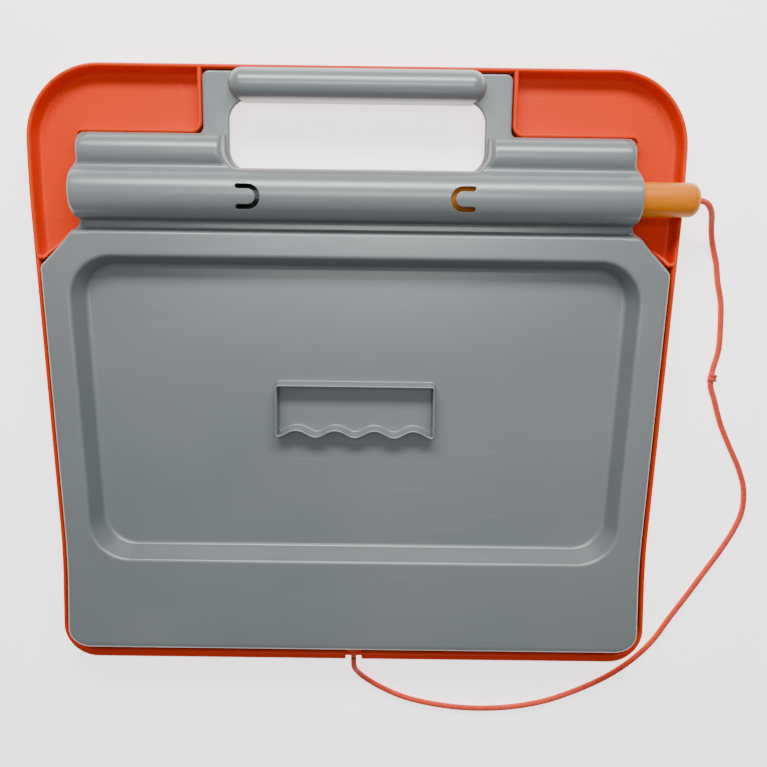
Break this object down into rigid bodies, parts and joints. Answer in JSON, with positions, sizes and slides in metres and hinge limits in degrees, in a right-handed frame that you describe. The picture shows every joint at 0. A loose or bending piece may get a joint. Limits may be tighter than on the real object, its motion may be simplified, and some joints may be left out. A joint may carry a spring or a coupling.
{
  "type": "magnetic drawing board",
  "caption": "Magnetic drawing board lying face down: orange frame, grey back with carrying handle and pen tube, sliding eraser, and a magnetic pen on a braided tether.",
  "frame": {"origin": "centre of the board on the plane of its front lip", "axes": "+Z from the front lip to the back, +Y to the handle edge, +X to the side where the pen sticks out"},
  "size_m": [0.4544, 0.4184, 0.0445],
  "materials": {
    "frame_plastic": "glossy moulded orange plastic",
    "cover_plastic": "satin moulded blue-grey plastic",
    "pen_plastic": "glossy moulded yellow-orange plastic",
    "cord": "braided orange cord",
    "film": "clear plastic film over a white screen",
    "screen_core": "white cell sheet filled with thick liquid",
    "seal": "matt dark grey rubber",
    "seal_white": "matt white sealant",
    "clamp_plastic": "matt light grey plastic",
    "screw_steel": "zinc plated steel",
    "knob_plastic": "glossy yellow plastic",
    "eraser_plastic": "matt white plastic",
    "magnet_strip": "matt black flexible magnet strip",
    "tip_magnet": "bare grey magnet"
  },
  "bodies": {
    "board": {"front_frame": "frame_plastic", "back_cover": "cover_plastic", "screen_gasket": "seal", "screen_front_film": "film", "screen_core": "screen_core", "screen_edge_seal": "seal_white", "screen_back_film": "film", "clamp_top": "clamp_plastic", "clamp_bottom": "clamp_plastic", "clamp_left": "clamp_plastic", "clamp_right": "clamp_plastic", "clamp_screws": "screw_steel", "cord_anchor_knot": "cord"},
    "eraser": {"eraser_knob": "knob_plastic", "eraser_carriage": "eraser_plastic", "eraser_bar": "eraser_plastic", "eraser_magnet": "magnet_strip", "eraser_top_shoe": "knob_plastic", "knob_screw": "screw_steel", "bar_screws": "screw_steel"},
    "pen": {"pen_barrel_upper": "pen_plastic", "pen_barrel_lower": "pen_plastic", "pen_tip_holder": "pen_plastic", "pen_magnet_tip": "tip_magnet", "pen_stop_knot": "cord", "pen_cord": "cord", "cord_mid_knot": "cord"}
  },
  "joints": [
    {"name": "eraser_slide", "type": "slide", "parent": "board", "child": "eraser", "axis": [1, 0, 0], "range_m": [0, 0.256]},
    {"name": "pen_slide", "type": "slide", "parent": "board", "child": "pen", "axis": [1, 0, 0], "range_m": [0, 0.13]}
  ]
}
